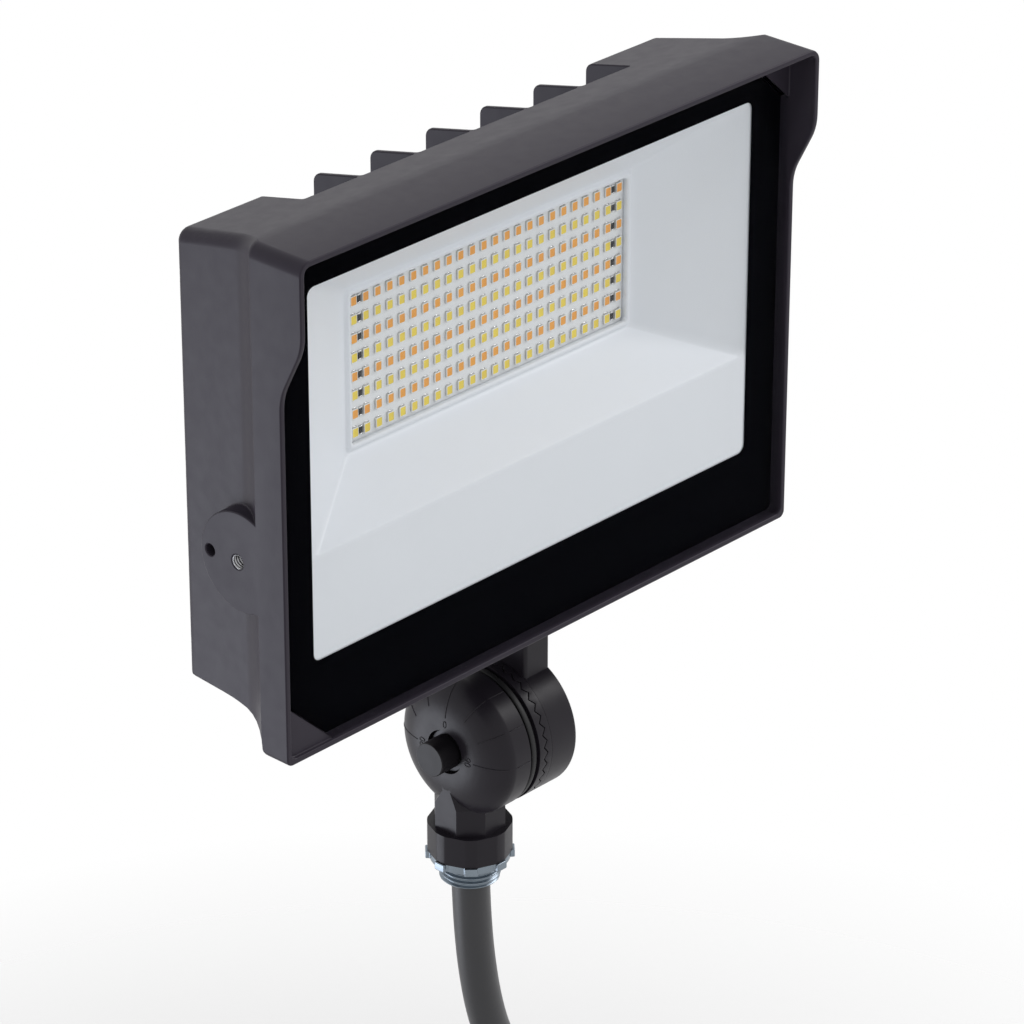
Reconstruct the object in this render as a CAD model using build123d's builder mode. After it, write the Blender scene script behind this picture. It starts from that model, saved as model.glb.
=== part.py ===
from build123d import *
import math
import os

os.makedirs("parts", exist_ok=True)

# LED flood light on a toothed knuckle, standing on a threaded conduit stem.
# Origin: stem axis at the lower face of the locknut. Front faces -Y, +X is right, +Z is up.

# Places of the main planes, all sizes in millimetres
pivot_z = 45.5             # axis of the knuckle, parallel to X
glass_back_y = -31.2       # back face of the front glass
window_z = 192.3           # middle of the clear window

# Clearances
slip = 0.05                # radial play of screws, spigots and the pivot bolt
gap = 0.25                 # play between pieces that lie in pockets

# Head, outer shape; depths run back from the back face of the glass
head_width = 242.0
head_below = 94.0          # lower edge of the rim below the window's middle
head_above = 82.4          # top of the hood above the window's middle
rim_ahead = 4.7            # lower rim in front of the glass back
hood_ahead = 14.4          # hood in front of the glass back
kink_depth = 7.0           # end of the straight band, where the sides start to taper
rear_depth = 49.3
rear_inset = 8.7           # each side draws in this much from the kink to the rear
rear_drop = 10.0           # the top falls this much from the kink to the rear
side_flare = 6.4           # most of the inset lies in a flare right behind the band
side_flare_depth = 16.0
side_steps = 5
floor_rise = 11.0          # underside of the body behind the flare, above the rim's edge
edge_round = 4.5
foot_round = 2.5
rear_round = 3.4
lip_round = 3.0            # round behind the rim's lower edge
hood_step_top = 54.0       # the side step from hood to rim, above the window's middle
hood_step_low = 35.0
hood_step_radius = 20.0
flare_start = 31.0
flare_drop = 5.8
flare_slope = 0.55         # fall of the flare where it meets the back of the rim
front_wall = 2.0
mouth_round = 2.5
cut_over = 10.0            # cutting shapes reach this far past the casting
sink = 1.0                 # and added shapes this far into it

# Front glass, its border print and its gasket
glass_thick = 3.2
pad_width = 19.5
pad_height = 18.0
window_beside = 15.0       # width of the border print beside the clear window
window_height = 129.2
window_round = 3.0
border_thick = 0.2
gasket_thick = 1.3

# Inside of the head
tray_beside = 4.0          # the opening behind the ledge is this much wider than the window
tray_over = 3.4            # and this much higher, above and below
flange_depth = 3.5         # depth of the opening in front of the driver compartment
partition_above = -29.0    # top and bottom face of the wall above the driver compartment
partition_thick = 4.0
base_depth = 24.3          # front face of the heat-sink base
base_thick = 5.0
floor_wall = 6.5           # wall under the driver compartment
compartment_front = 6.0
pocket_gap = 3.0           # the end pockets start this far beside the board
pocket_wall = 3.3          # wall behind the pockets
pocket_roof = 2.0          # the pockets end this far below the top of the opening
board_screw_inset = 8.5    # screws in from the ends of the board
board_screw_edge = 4.5     # and from its long edges
board_screw_grip = 4.2
lead_inset = 3.2           # wires from the driver up to the board, in from its end
lead_ahead = 1.7           # and in front of its face
lead_pitch = 2.4
lead_hole = 3.2
lead_bend = 6.0
lead_drop = 2.0
connector_inset = 0.5
connector_width = 5.5
connector_height = 12.0
connector_thick = 3.2

# Cooling fins
fin_count = 5
fin_pitch = 25.55
fin_thick = 1.8
end_gap = 24.9             # from the middle of the last fin to the solid end block
slot_rise = 11.0           # floor of the slots above the driver compartment's wall

# Side bosses for a yoke
boss_radius = 17.3
boss_depth = 15.0
boss_below = 28.0
boss_root = 12.0           # the boss reaches this far into the casting
yoke_thread_radius = 2.5
yoke_thread_depth = 15.9
yoke_thread_length = 10.0
yoke_pin_radius = 2.0
yoke_pin_depth = 28.2
yoke_pin_length = 6.0

# Light engine
led_columns = 24
led_rows = 8
led_pitch_x = 5.43
led_pitch_z = 6.56
led_middle = 17.25         # middle of the LED field above the window's middle
led_width = 2.8
led_height = 3.5
led_thick = 0.8
board_thick = 1.6
pad_thick = 0.5            # thermal pad between board and heat-sink base
board_beside = 15.0        # the board reaches past the LED opening by this much
board_over = 5.0           # and by this much above and below it
resistor_width = 1.6
resistor_height = 3.2
resistor_thick = 0.5
tray_wall = 1.5
tray_front = 0.4
tray_lift = 1.2            # the tray ends this far in front of the board
tray_flange = 1.5
tray_mouth_beside = 0.5    # the slopes start this far outside the clear window
tray_crease = -28.2        # lower crease, where the slope meets the flat flange
led_opening_half = 65.0
led_opening_height = 52.0
tray_play = 0.5
m3_radius = 1.5
m3_head_radius = 2.6
m3_head = 1.6

# Rear cover and what it carries
cover_thick = 2.5
cover_beside = 4.3         # rear face left standing beside the cover
cover_lip = 10.0           # the cover reaches past the compartment at its ends
cover_lip_low = 3.5        # and below it
cover_lip_high = 9.0       # and above it
cover_gasket = 1.0
cover_screw_inset = 4.8    # screws in from the ends of the cover
cover_screw_edge = 7.2     # and from its long edges
cover_screw_grip = 9.0
m4_radius = 1.95
m4_head_radius = 3.6
m4_head = 2.4
m2_radius = 1.2
m2_head_radius = 2.2
m2_head = 1.5
selector_board_half = 14.5
selector_boss = 4.6
selector_boss_radius = 2.6
selector_screw_grip = 3.5
selector_screw_x = 12.0    # one screw up and left of the middle, one down and right
selector_screw_z = 10.0
selector_inset = 28.0      # from the end of the cover to the middle of the selector
selector_rise = 24.5       # and from its lower edge
selector_pitch = 8.0
selector_window = 16.0
selector_board_thick = 1.6
switch_width = 10.0
switch_height = 5.0
switch_thick = 3.8
switch_slot = 6.4
switch_slot_height = 2.0
switch_slot_deep = 2.4
lever_width = 2.0
lever_height = 1.8
lever_reach = 2.0          # lever behind the face of its switch
plug_flange = 20.0
plug_thick = 1.5
plug_wall = 1.5
plug_play = 0.2

# Driver and wiring
driver_beside = 3.5        # between the selector's board and the driver's case
driver_under = 6.0         # space under and over the driver's case
driver_over = 5.0
driver_behind = 3.8        # space between the driver and the cover's seat
wire_radius = 1.0
wire_pitch = 3.0
ear_length = 6.0
ear_height = 8.0
ear_thick = 2.0
driver_screw_grip = 2.2
supply_dip = 14.0          # the leads from the arm start this far below the seat
supply_lift = 2.8          # and run this far above the compartment's floor
supply_bend = 3.0
splice_inset = 35.0        # splices in from the end of the compartment
splice_run = 3.0           # and this far from the driver
splice_length = 12.0
splice_width = 5.4
splice_pitch = 6.0
splice_height = 16.0
splice_drop = 2.0          # middle of the splices below the middle of the driver

# Knuckle; X places are measured from the stem axis
drum_radius = 25.5
dome_face = -12.3
dome_face_radius = 9.0
dome_start = -3.5
groove_start = 3.3
groove_end = 7.8
groove_deep = 1.5
stem_valley = 10.0         # bottom of the stem ring's teeth
head_valley = 11.7         # bottom of the head ring's teeth
tooth_height = 0.8
tooth_count = 36
parting = 13.9
drum_end = 26.4
tooth_over = 2.0           # the tooth cutter reaches past the ring inside and outside
spigot_radius = 15.0
cavity_radius = 12.8
hub_radius = 7.5
pivot_radius = 4.0
bolt_recess_radius = 8.0
bolt_recess = 2.5
washer_radius = 7.4
washer_thick = 1.0
bolt_head_radius = 5.2
bolt_head_length = 7.5
cap_radius = 6.1
cap_length = 9.0
nut_across = 13.0
nut_thick = 6.5
nut_inset = 0.3            # the nut lies this far below the face of the drum
head_cavity = 7.3
stem_cavity = 14.0
wire_bore = 5.0
wire_bore_x = -1.9         # clear of the groove, which passes over the neck
drum_edge = 1.2
arm_round = 1.5
tooth_share = 0.92         # the rest of a tooth's pitch is a flat on its tip
seal_inset = 0.3           # the ring in the groove stays this far below the drum's face
seal_width = 2.3
arm_inset = 0.1            # the arm starts this far behind the parting line
arm_half = 12.6
arm_bore = 4.0
foot_length = 36.0
foot_depth = 27.0
foot_thick = 4.0
seat_drop = 3.5            # seat for the arm's foot below the underside of the body
arm_gasket_thick = 1.0
foot_screw_x = 13.5
foot_screw_y = 9.0

# Stem, locknut and thread
neck_half = 12.0           # the neck is an octagon, half as wide as this across flats
neck_shoulder = 24.0       # above this height the neck narrows into the dome
neck_blend = 31.0
neck_top_across = 11.5     # half widths at the top of the neck, inside the dome
neck_top_deep = 2.5
neck_clear = 0.4           # space between the neck and the turning half of the drum
collar_radius = 14.7
collar_across = 28.6
collar_sides = 8
collar_top = 14.0
locknut_thick = 3.0
locknut_radius = 14.1
locknut_lugs = 8
lug_reach = 1.3
lug_width = 4.5
locknut_chamfer = 0.5       # opens the locknut's thread at both faces
thread_radius = 10.65
thread_inner_radius = 10.45
thread_free = 7.7
nipple_bore = 8.2
nipple_top = 12.5

# Supply cord, hand-chosen route from inside the nipple down to the coil
cord_radius = 6.75
grip_low = -6.0
grip_high = 8.0
route = [(0, 0, 10), (0, 0, -24), (7, 0, -68.5), (19, 0, -93.1), (37.7, 0, -113.1), (61.4, 0, -126.8)]
coil_radius = 74.0
coil_turns = 1.64
coil_drift = 14.8
tie_wall = 1.3
tie_play = 0.45
tie_length = 10.0
tie_angle = -60.0
conductor_radius = 1.7
conductor_bundle = 2.2
conductor_straight = 15.0
conductor_splayed = 28.0
conductor_splay = 12.0
bundle_angles = [math.radians(90 + 120 * number) for number in range(3)]
stem_lead_length = 18.0
tip_radius = 0.9
tip_length = 9.0

# Places worked out from the sizes above
rear_width = head_width - 2 * rear_inset
floor_below = head_below - floor_rise
seat_below = floor_below + seat_drop
rim_y = glass_back_y - rim_ahead
hood_y = glass_back_y - hood_ahead
kink_y = glass_back_y + kink_depth
rear_y = glass_back_y + rear_depth
ledge_depth = border_thick + gasket_thick
head_low = window_z - head_below
head_top = window_z + head_above
head_mid = (head_low + head_top) / 2
head_height = head_top - head_low
half_width = head_width / 2
floor_z = window_z - floor_below
seat_z = window_z - seat_below
mouth_half = half_width - front_wall
mouth_low = head_low + front_wall
mouth_top = head_top - front_wall
window_width = 2 * (mouth_half - window_beside)
tray_half = window_width / 2 + tray_beside
tray_above = window_height / 2 + tray_over
tray_below = tray_above
tray_mouth_half = window_width / 2 + tray_mouth_beside
tray_mouth_above = window_height / 2 + tray_mouth_beside
led_opening_below = led_middle - led_opening_height / 2
led_opening_above = led_middle + led_opening_height / 2
board_face = base_depth - pad_thick - board_thick
board_half = led_opening_half + board_beside
board_below = led_opening_below - board_over
board_above = led_opening_above + board_over
tray_back = board_face - tray_lift
cover_half = rear_width / 2 - cover_beside
compartment_half = cover_half - cover_lip
compartment_below = floor_below - floor_wall
compartment_above = partition_above - partition_thick
cover_below = compartment_below + cover_lip_low
cover_above = compartment_above + cover_lip_high
floor_thick = seat_below - compartment_below
cover_face = rear_depth - cover_thick
cover_seat = cover_face - cover_gasket
pocket_inner = board_half + pocket_gap
pocket_back = rear_depth - pocket_wall
slot_below = compartment_above + partition_thick + slot_rise
board_screw_x = board_half - board_screw_inset
board_screw_z = (board_below + board_screw_edge, board_above - board_screw_edge)
lead_x = lead_inset - board_half
lead_depth = board_face - lead_ahead
connector_x = (connector_inset - board_half, connector_inset + connector_width - board_half)
connector_low = led_middle - 1.5 * led_pitch_z
connector_z = (connector_low, connector_low + connector_height)
driver_low = driver_under - compartment_below
driver_top = compartment_above - driver_over
driver_back = cover_seat - driver_behind
ear_z = (driver_low + driver_top) / 2
splice_middle = ear_z - splice_drop
splice_low = splice_middle - splice_height / 2
splice_high = splice_middle + splice_height / 2
ear_face = compartment_front + ear_thick
cover_screw_x = cover_half - cover_screw_inset
cover_screw_low = cover_screw_edge - cover_below
cover_screw_high = cover_above - cover_screw_edge
cover_screw_z = (cover_screw_low, (cover_screw_low + cover_screw_high) / 2, cover_screw_high)
selector_x = selector_inset - cover_half
selector_z = selector_rise - cover_below
splice_left = compartment_half - splice_inset
driver_left = selector_x + selector_board_half + driver_beside
driver_right = splice_left - splice_run
groove_floor = drum_radius - groove_deep
seal_radius = drum_radius - seal_inset
arm_inner = parting + arm_inset
nut_seat = drum_end - nut_inset - nut_thick
window_x = (selector_x - selector_window / 2, selector_x + selector_window / 2)
window_span = (selector_z - selector_window / 2, selector_z + selector_window / 2)
switch_places = (selector_z + selector_pitch / 2, selector_z - selector_pitch / 2)
far = 2 * head_width


def front_plane(depth):
    """Sketch plane that looks from the front, this far behind the back of the glass."""
    return Plane.XZ.offset(-(glass_back_y + depth))


def knuckle_plane(x, way=1):
    """Sketch plane across the knuckle's axis at this X place, facing +X or -X."""
    return Plane(origin=(x, 0, pivot_z), x_dir=(0, way, 0), z_dir=(way, 0, 0))


def block(x0, x1, depth0, depth1, z0, z1, mode=Mode.ADD):
    """Box between two X places, two depths and two heights from the window's middle."""
    with BuildSketch(front_plane(depth1)) as outline:
        with Locations(((x0 + x1) / 2, window_z + (z0 + z1) / 2)):
            Rectangle(x1 - x0, z1 - z0)
    extrude(outline.sketch, amount=depth1 - depth0, mode=mode)


def disc(plane, radius, length, mode=Mode.ADD, bore=0, spots=((0, 0),)):
    """Round discs or tubes that grow from the plane along its normal, or against it if negative."""
    with BuildSketch(plane) as outline:
        with Locations(*spots):
            Circle(radius)
            if bore:
                Circle(bore, mode=Mode.SUBTRACT)
    extrude(outline.sketch, amount=length, mode=mode)


def screw_group(plane, spots, radius, length, head_radius, head_height):
    """Pan-head screws: heads stand on the plane along its normal, shanks go the other way."""
    disc(plane, head_radius, head_height, spots=spots)
    disc(plane, radius, -length, spots=spots)


def mouth_outline(plane, inset):
    """Outline inside the front rim, beside the two triangular pads, drawn in by the inset."""
    with BuildSketch(plane) as outline:
        with Locations((0, (mouth_low + mouth_top) / 2)):
            RectangleRounded(2 * mouth_half, mouth_top - mouth_low, mouth_round)
        for x, z, way in ((-mouth_half, mouth_low, 1), (mouth_half, mouth_top, -1)):
            with BuildLine():
                Polyline((x, z), (x + way * pad_width, z), (x, z + way * pad_height), close=True)
            make_face(mode=Mode.SUBTRACT)
        if inset:
            offset(amount=-inset, kind=Kind.INTERSECTION)
    return outline.sketch


def tube(points, radii, radius):
    """Round tube along straight runs joined by tangent arcs."""
    with BuildLine() as path:
        FilletPolyline(*points, radius=radii)
    start = Vector(*points[0])
    with BuildSketch(Plane(origin=start, z_dir=Vector(*points[1]) - start)) as section:
        Circle(radius)
    sweep(section.sketch, path=path.line)


def save(piece, name):
    piece.part.label = name
    export_step(piece.part, "parts/" + name + ".step")


# Housing: one die casting with hood, rim, tapering body, fins, side bosses and compartments
fin_span = (fin_count - 1) * fin_pitch / 2
block_half = fin_span + end_gap
slot_spans = []
slot_left = -block_half
for number in range(fin_count + 1):
    fin_x = -fin_span + number * fin_pitch
    slot_right = block_half if number == fin_count else fin_x - fin_thick / 2
    slot_spans.append((slot_left, slot_right))
    slot_left = fin_x + fin_thick / 2

arm_x = (arm_inner + drum_end) / 2
foot_spots = [(arm_x + a * foot_screw_x, b * foot_screw_y) for a in (-1, 1) for b in (-1, 1)]
cover_spots = [(a * cover_screw_x, window_z + z) for a in (-1, 1) for z in cover_screw_z]
board_spots = [(a * board_screw_x, window_z + z) for a in (-1, 1) for z in board_screw_z]
ear_spots = [(x, window_z + ear_z) for x in (driver_left - ear_length / 2, driver_right + ear_length / 2)]
boss_middle = (glass_back_y + boss_depth, window_z - boss_below)
side_planes = [
    Plane(origin=(side * half_width, *boss_middle), x_dir=(0, side, 0), z_dir=(side, 0, 0))
    for side in (-1, 1)
]

body_sections = []
for step in range(side_steps + 1):
    share = step / side_steps
    inset = side_flare * (1 - (1 - share) ** 2)
    body_sections.append((kink_depth + share * side_flare_depth, inset))
body_sections.append((rear_depth, rear_inset))

with BuildPart() as housing:
    with BuildSketch(Plane.XZ.offset(-kink_y)) as band_outline:
        with Locations((0, head_mid)):
            Rectangle(head_width, head_height)
        fillet(band_outline.vertices().group_by(Axis.Y)[-1], edge_round)
        fillet(band_outline.vertices().group_by(Axis.Y)[0], foot_round)
    extrude(amount=kink_y - hood_y)
    for depth, inset in body_sections:
        fall = rear_drop * (depth - kink_depth) / (rear_depth - kink_depth)
        with BuildSketch(front_plane(depth)) as body_outline:
            with Locations((0, head_mid - fall / 2)):
                Rectangle(head_width - 2 * inset, head_height - fall)
            fillet(body_outline.vertices().group_by(Axis.Y)[-1], edge_round)
    loft(ruled=True)
    with BuildSketch(Plane.YZ) as under_cut:
        with BuildLine():
            flare = Spline(
                (glass_back_y + flare_start, floor_z),
                (kink_y, floor_z - flare_drop),
                tangents=((-1, 0), (-1, -flare_slope)),
            )
            rim_back = Line(flare @ 1, (kink_y, head_low + lip_round))
            lip = JernArc(rim_back @ 1, (0, -1), lip_round, -90)
            Polyline(
                lip @ 1,
                (kink_y - lip_round, head_low - cut_over),
                (rear_y + cut_over, head_low - cut_over),
                (rear_y + cut_over, floor_z),
                flare @ 0,
            )
        make_face()
    extrude(amount=far, both=True, mode=Mode.SUBTRACT)
    with BuildSketch(Plane.YZ) as step_cut:
        with BuildLine():
            step = FilletPolyline(
                (rim_y, head_low - cut_over),
                (rim_y, window_z + hood_step_low),
                (hood_y, window_z + hood_step_top),
                (hood_y, head_top + cut_over),
                radius=hood_step_radius,
            )
            ahead = hood_y - cut_over
            Polyline(step @ 1, (ahead, head_top + cut_over), (ahead, head_low - cut_over), step @ 0)
        make_face()
    extrude(amount=far, both=True, mode=Mode.SUBTRACT)
    fillet(housing.edges().filter_by(lambda e: abs(e.center().Y - rear_y) < 0.01), rear_round)

    # Seat for the foot of the arm, and the round side bosses
    with BuildSketch(Plane.XY.offset(seat_z)):
        with Locations((arm_x, 0)):
            RectangleRounded(foot_length, foot_depth, edge_round)
    extrude(amount=seat_drop + sink)
    for side_plane in side_planes:
        disc(side_plane, boss_radius, -boss_root)

    # Mouth in front of the glass, and the glass seat with two triangular pads left standing
    with BuildSketch(front_plane(-glass_thick)):
        with Locations((0, (mouth_low + mouth_top) / 2)):
            RectangleRounded(2 * mouth_half, mouth_top - mouth_low, mouth_round)
    extrude(amount=far, mode=Mode.SUBTRACT)
    extrude(mouth_outline(front_plane(ledge_depth), 0), amount=far, mode=Mode.SUBTRACT)

    # Tray space, end pockets, driver compartment and the seat of the rear cover
    block(-tray_half, tray_half, 0, flange_depth, -tray_below, tray_above, Mode.SUBTRACT)
    block(-tray_half, tray_half, 0, base_depth, partition_above, tray_above, Mode.SUBTRACT)
    for low, high in ((-tray_half, -pocket_inner), (pocket_inner, tray_half)):
        block(low, high, 0, pocket_back, board_below, tray_above - pocket_roof, Mode.SUBTRACT)
    block(
        -compartment_half, compartment_half, compartment_front, far,
        -compartment_below, compartment_above, Mode.SUBTRACT,
    )
    block(
        -cover_half - gap, cover_half + gap, cover_seat, far,
        -cover_below - gap, cover_above + gap, Mode.SUBTRACT,
    )

    # Slots between the cooling fins, open to the top and the rear
    for left, right in slot_spans:
        block(left, right, base_depth + base_thick, far, slot_below, far, Mode.SUBTRACT)

    # Threaded and plain holes of the side bosses
    for side_plane in side_planes:
        way = side_plane.x_dir.Y
        thread_spot = (way * (yoke_thread_depth - boss_depth), 0)
        pin_spot = (way * (yoke_pin_depth - boss_depth), 0)
        disc(side_plane, yoke_thread_radius, -yoke_thread_length, Mode.SUBTRACT, spots=[thread_spot])
        disc(side_plane, yoke_pin_radius, -yoke_pin_length, Mode.SUBTRACT, spots=[pin_spot])

    # Holes for the screws of board, cover, driver and arm, and for the wires
    m3_hole = m3_radius + slip
    m4_hole = m4_radius + slip
    disc(front_plane(base_depth), m3_hole, -board_screw_grip, Mode.SUBTRACT, spots=board_spots)
    disc(front_plane(cover_seat), m4_hole, cover_screw_grip, Mode.SUBTRACT, spots=cover_spots)
    disc(front_plane(compartment_front), m3_hole, driver_screw_grip, Mode.SUBTRACT, spots=ear_spots)
    disc(Plane.XY.offset(seat_z), m4_hole, floor_thick, Mode.SUBTRACT, spots=foot_spots)
    disc(Plane.XY.offset(seat_z), arm_bore, floor_thick, Mode.SUBTRACT, spots=[(arm_x, 0)])
    with BuildSketch(Plane.XY.offset(window_z + partition_above)):
        with Locations((lead_x, glass_back_y + lead_depth)):
            Circle(lead_hole)
    extrude(amount=-partition_thick, mode=Mode.SUBTRACT)
save(housing, "housing")

# Front glass, printed border on its back, and the gasket between glass and ledge
with BuildPart() as lens_glass:
    extrude(mouth_outline(front_plane(0), gap), amount=glass_thick)
save(lens_glass, "lens_glass")

with BuildPart() as lens_border:
    with BuildSketch(front_plane(border_thick)):
        add(mouth_outline(Plane.XY, 2 * gap))
        with Locations((0, window_z)):
            RectangleRounded(window_width, window_height, window_round, mode=Mode.SUBTRACT)
    extrude(amount=border_thick)
save(lens_border, "lens_border")

with BuildPart() as lens_gasket:
    with BuildSketch(front_plane(ledge_depth)):
        add(mouth_outline(Plane.XY, 2 * gap))
        with Locations((0, window_z + (tray_above - tray_below) / 2)):
            Rectangle(2 * tray_half, tray_above + tray_below, mode=Mode.SUBTRACT)
    extrude(amount=gasket_thick)
save(lens_gasket, "lens_gasket")

# White tray: sloping walls from the window down to the LED field, with a flat flange below
tray_sections = (
    (tray_front, tray_mouth_half, tray_crease, tray_mouth_above),
    (tray_back, led_opening_half, led_opening_below, led_opening_above),
)
with BuildPart() as tray_hollow:
    for depth, half, low, high in tray_sections:
        with BuildSketch(front_plane(depth)):
            with Locations((0, window_z + (low + high) / 2)):
                Rectangle(2 * half, high - low)
    loft(ruled=True)

with BuildPart() as reflector:
    for depth, half, low, high in tray_sections:
        with BuildSketch(front_plane(depth)):
            with Locations((0, window_z + (low + high) / 2)):
                Rectangle(2 * (half + tray_wall), high - low + 2 * tray_wall)
    loft(ruled=True)
    block(
        tray_play - tray_half, tray_half - tray_play, tray_front, tray_front + tray_flange,
        tray_play - tray_below, tray_above - tray_play,
    )
    add(tray_hollow.part, mode=Mode.SUBTRACT)
save(reflector, "reflector")

# Light engine: board, two sets of LED packages in alternate rows, resistors, screws, pad
with BuildPart() as led_board:
    block(-board_half, board_half, board_face, board_face + board_thick, board_below, board_above)
    disc(front_plane(board_face), m3_radius + 2 * slip, -board_thick, Mode.SUBTRACT, spots=board_spots)
save(led_board, "led_board")

for name, first_row in (("warm_leds", 1), ("cool_leds", -1)):
    with BuildPart() as led_set:
        with BuildSketch(front_plane(board_face)):
            with Locations((0, window_z + led_middle + first_row * led_pitch_z / 2)):
                with GridLocations(led_pitch_x, 2 * led_pitch_z, led_columns, led_rows // 2):
                    Rectangle(led_width, led_height)
        extrude(amount=led_thick)
    save(led_set, name)

with BuildPart() as board_resistors:
    with BuildSketch(front_plane(board_face)):
        with Locations((0, window_z + led_middle)):
            with GridLocations((led_columns - 2) * led_pitch_x, led_pitch_z, 2, led_rows):
                Rectangle(resistor_width, resistor_height)
    extrude(amount=resistor_thick)
save(board_resistors, "board_resistors")

with BuildPart() as thermal_pad:
    block(-board_half, board_half, board_face + board_thick, base_depth, board_below, board_above)
    disc(front_plane(base_depth), m3_radius + 2 * slip, pad_thick, Mode.SUBTRACT, spots=board_spots)
save(thermal_pad, "thermal_pad")

with BuildPart() as board_screws:
    board_screw_length = board_thick + pad_thick + board_screw_grip
    screw_group(
        front_plane(board_face), board_spots, m3_radius, board_screw_length, m3_head_radius, m3_head,
    )
save(board_screws, "board_screws")

with BuildPart() as board_connector:
    block(*connector_x, board_face - connector_thick, board_face, *connector_z)
save(board_connector, "board_connector")

# Driver with its ears and screws, and the wiring in the head
with BuildPart() as driver_case:
    block(driver_left, driver_right, compartment_front, driver_back, driver_low, driver_top)
    block(
        driver_left - ear_length, driver_right + ear_length, compartment_front,
        compartment_front + ear_thick, ear_z - ear_height / 2, ear_z + ear_height / 2,
    )
    disc(front_plane(ear_face), m3_radius + slip, ear_thick, Mode.SUBTRACT, spots=ear_spots)
save(driver_case, "driver_case")

with BuildPart() as driver_screws:
    rearward = Plane(origin=(0, glass_back_y + ear_face, 0), x_dir=(1, 0, 0), z_dir=(0, 1, 0))
    mirrored_spots = [(x, -z) for x, z in ear_spots]
    screw_group(
        rearward, mirrored_spots, m3_radius, ear_thick + driver_screw_grip, m3_head_radius, m3_head,
    )
save(driver_screws, "driver_screws")

with BuildPart() as board_leads:
    for way in (-1, 1):
        x = lead_x + way * lead_pitch / 2
        y = glass_back_y + lead_depth
        turn_z = window_z + ear_z - lead_drop + way * lead_pitch / 2
        corners = [(x, y, window_z + connector_z[0]), (x, y, turn_z), (driver_left, y, turn_z)]
        tube(corners, lead_bend - way * lead_pitch / 2, wire_radius)
save(board_leads, "board_leads")

with BuildPart() as supply_leads:
    for way in (-1, 0, 1):
        near = way * lead_pitch
        wide = way * splice_pitch
        run_z = window_z - compartment_below + supply_lift
        corners = [
            (arm_x, near, seat_z - supply_dip),
            (arm_x, near, run_z),
            (splice_left + wire_pitch, wide, run_z),
            (splice_left + wire_pitch, wide, window_z + splice_low),
        ]
        tube(corners, supply_bend, wire_radius)
save(supply_leads, "supply_leads")

with BuildPart() as splice_connectors:
    for way in (-1, 0, 1):
        middle = way * splice_pitch - glass_back_y
        block(
            splice_left, splice_left + splice_length, middle - splice_width / 2,
            middle + splice_width / 2, splice_low, splice_high,
        )
save(splice_connectors, "splice_connectors")

with BuildPart() as driver_leads:
    for way in (-1, 0, 1):
        disc(
            Plane.YZ.offset(driver_right), wire_radius, splice_left - driver_right,
            spots=[(way * splice_pitch, window_z + splice_middle)],
        )
save(driver_leads, "driver_leads")

# Rear cover with gasket and screws, selector board behind its window, and the plug
selector_spots = [
    (selector_x + way * selector_screw_x, window_z + selector_z - way * selector_screw_z)
    for way in (-1, 1)
]
selector_board_face = rear_depth - cover_thick - selector_boss - selector_board_thick
with BuildPart() as rear_cover:
    block(-cover_half, cover_half, cover_face, rear_depth, -cover_below, cover_above)
    disc(front_plane(cover_face), selector_boss_radius, selector_boss, spots=selector_spots)
    disc(
        front_plane(cover_face - selector_boss), m2_radius + slip, -selector_boss, Mode.SUBTRACT,
        spots=selector_spots,
    )
    disc(front_plane(rear_depth), m4_radius + slip, cover_thick, Mode.SUBTRACT, spots=cover_spots)
    block(*window_x, cover_face, rear_depth, *window_span, Mode.SUBTRACT)
save(rear_cover, "rear_cover")

with BuildPart() as rear_cover_gasket:
    block(-cover_half, cover_half, cover_seat, cover_face, -cover_below, cover_above)
    block(
        -compartment_half - gap, compartment_half + gap, cover_seat, cover_face,
        -compartment_below - gap, compartment_above + gap, Mode.SUBTRACT,
    )
    disc(front_plane(cover_face), m4_radius + slip, cover_gasket, Mode.SUBTRACT, spots=cover_spots)
save(rear_cover_gasket, "rear_cover_gasket")

with BuildPart() as rear_cover_screws:
    outside = Plane(origin=(0, rear_y, 0), x_dir=(1, 0, 0), z_dir=(0, 1, 0))
    mirrored_spots = [(x, -z) for x, z in cover_spots]
    cover_screw_length = cover_thick + cover_gasket + cover_screw_grip
    screw_group(outside, mirrored_spots, m4_radius, cover_screw_length, m4_head_radius, m4_head)
save(rear_cover_screws, "rear_cover_screws")

with BuildPart() as selector_board:
    block(
        selector_x - selector_board_half, selector_x + selector_board_half, selector_board_face,
        selector_board_face + selector_board_thick,
        selector_z - selector_board_half, selector_z + selector_board_half,
    )
    disc(
        front_plane(selector_board_face), m2_radius + slip, -selector_board_thick, Mode.SUBTRACT,
        spots=selector_spots,
    )
save(selector_board, "selector_board")

switch_base = selector_board_face + selector_board_thick
switch_face = switch_base + switch_thick
with BuildPart() as selector_switches:
    for z in switch_places:
        block(
            selector_x - switch_width / 2, selector_x + switch_width / 2, switch_base, switch_face,
            z - switch_height / 2, z + switch_height / 2,
        )
        block(
            selector_x - switch_slot / 2, selector_x + switch_slot / 2,
            switch_face - switch_slot_deep, switch_face,
            z - switch_slot_height / 2, z + switch_slot_height / 2, Mode.SUBTRACT,
        )
save(selector_switches, "selector_switches")

for name, z in zip(("colour_selector", "power_selector"), switch_places):
    with BuildPart() as lever:
        block(
            selector_x - lever_width / 2, selector_x + lever_width / 2,
            switch_face - switch_slot_deep + 2 * slip, switch_face + lever_reach,
            z - lever_height / 2, z + lever_height / 2,
        )
    save(lever, name)

with BuildPart() as selector_board_screws:
    screw_group(
        front_plane(selector_board_face), selector_spots, m2_radius,
        selector_board_thick + selector_screw_grip, m2_head_radius, m2_head,
    )
save(selector_board_screws, "selector_board_screws")

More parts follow.
